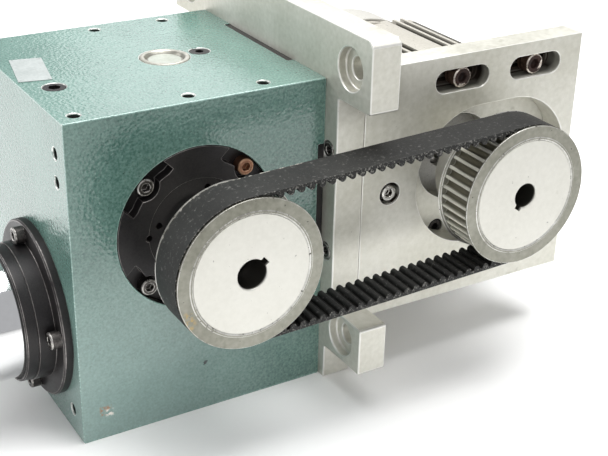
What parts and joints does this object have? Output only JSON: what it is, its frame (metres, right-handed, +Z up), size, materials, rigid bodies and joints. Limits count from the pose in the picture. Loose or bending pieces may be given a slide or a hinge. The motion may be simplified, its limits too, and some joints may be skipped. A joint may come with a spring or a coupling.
{
  "type": "belt driven linear axis",
  "caption": "Gear housing with a rack-driven polished ram, turned through a toothed belt and two pulleys by a motor on a slotted side plate.",
  "frame": {"origin": "centre of the housing's bottom face", "axes": "+Z up, the pulleys and belt on the -Y side (front), the ram slides out toward -X, the motor stands toward +X"},
  "size_m": [0.5564, 0.333, 0.292],
  "materials": {
    "housing_paint": "semi-gloss hammered paint",
    "black_oxide": "black oxide, semi-gloss",
    "dark_screws": "blackened, oiled",
    "steel": "satin",
    "ball_steel": "polished",
    "ram_chrome": "hard chrome, polished",
    "aluminium": "satin machined",
    "belt_rubber": "matte",
    "bronze": "satin bronze",
    "motor_paint": "satin warm grey",
    "black_plastic": "matte"
  },
  "bodies": {
    "frame": {"housing": "housing_paint", "rating_label": "aluminium", "sight_cap": "aluminium", "top_plugs": "dark_screws", "bearing_cartridge": "black_oxide", "cartridge_screws": "dark_screws", "cartridge_ring_nut": "black_oxide", "shaft_seal": "belt_rubber", "bearing_outer_rings": "steel", "bearing_balls": "ball_steel", "rear_cap": "housing_paint", "rear_cap_screws": "dark_screws", "side_cover": "black_oxide", "side_cover_screws": "steel", "ram_flange": "black_oxide", "ram_flange_screws": "dark_screws", "ram_bush": "bronze", "ram_keeper": "black_oxide", "ram_wiper": "belt_rubber", "ram_saddle": "bronze", "ram_saddle_screws": "steel", "timing_belt": "belt_rubber", "bracket": "aluminium", "bracket_screws": "steel", "motor_plate": "aluminium", "plate_end_screws": "steel", "corner_block": "aluminium", "corner_block_screws": "steel", "slide_plate": "aluminium", "slot_screws": "steel", "slot_washers": "steel", "motor_screws": "dark_screws", "motor_front_shield": "motor_paint", "motor_frame": "motor_paint", "motor_rear_shield": "motor_paint", "motor_stator": "bronze", "motor_bearing_outer_rings": "steel", "motor_bearing_balls": "ball_steel", "motor_cowl": "motor_paint", "terminal_box": "motor_paint", "terminal_lid": "motor_paint", "cable_gland": "black_plastic"},
    "input": {"input_shaft": "steel", "pinion": "steel", "pinion_key": "steel", "shaft_spacer": "steel", "input_pulley": "aluminium", "input_pulley_flanges": "steel", "input_pulley_key": "steel", "input_pulley_set_screws": "dark_screws", "bearing_inner_rings": "steel"},
    "motor_rotor": {"motor_pulley": "aluminium", "motor_pulley_flanges": "steel", "motor_pulley_key": "steel", "motor_pulley_set_screws": "dark_screws", "motor_bearing_inner_rings": "steel", "motor_shaft": "steel", "motor_rotor": "steel", "motor_fan": "black_plastic"},
    "ram": {"ram": "ram_chrome"}
  },
  "joints": [
    {"name": "input_shaft_spin", "type": "hinge", "parent": "frame", "child": "input", "pos_m": [-0.004, -0.1, 0.154], "axis": [0, 1, 0], "range_deg": [0, 102.86], "deforming": ["timing_belt"]},
    {"name": "motor_shaft_spin", "type": "hinge", "parent": "frame", "child": "motor_rotor", "pos_m": [0.22788, -0.1, 0.1615], "axis": [0, 1, 0], "range_deg": [0, 102.86]},
    {"name": "ram_slide", "type": "slide", "parent": "frame", "child": "ram", "axis": [-1, 0, 0], "range_m": [0, 0.0646]}
  ],
  "couplings": [
    {"joint": "motor_shaft_spin", "follows": "input_shaft_spin", "ratio": 1},
    {"joint": "ram_slide", "follows": "input_shaft_spin", "m_per_rad": 0.036}
  ]
}
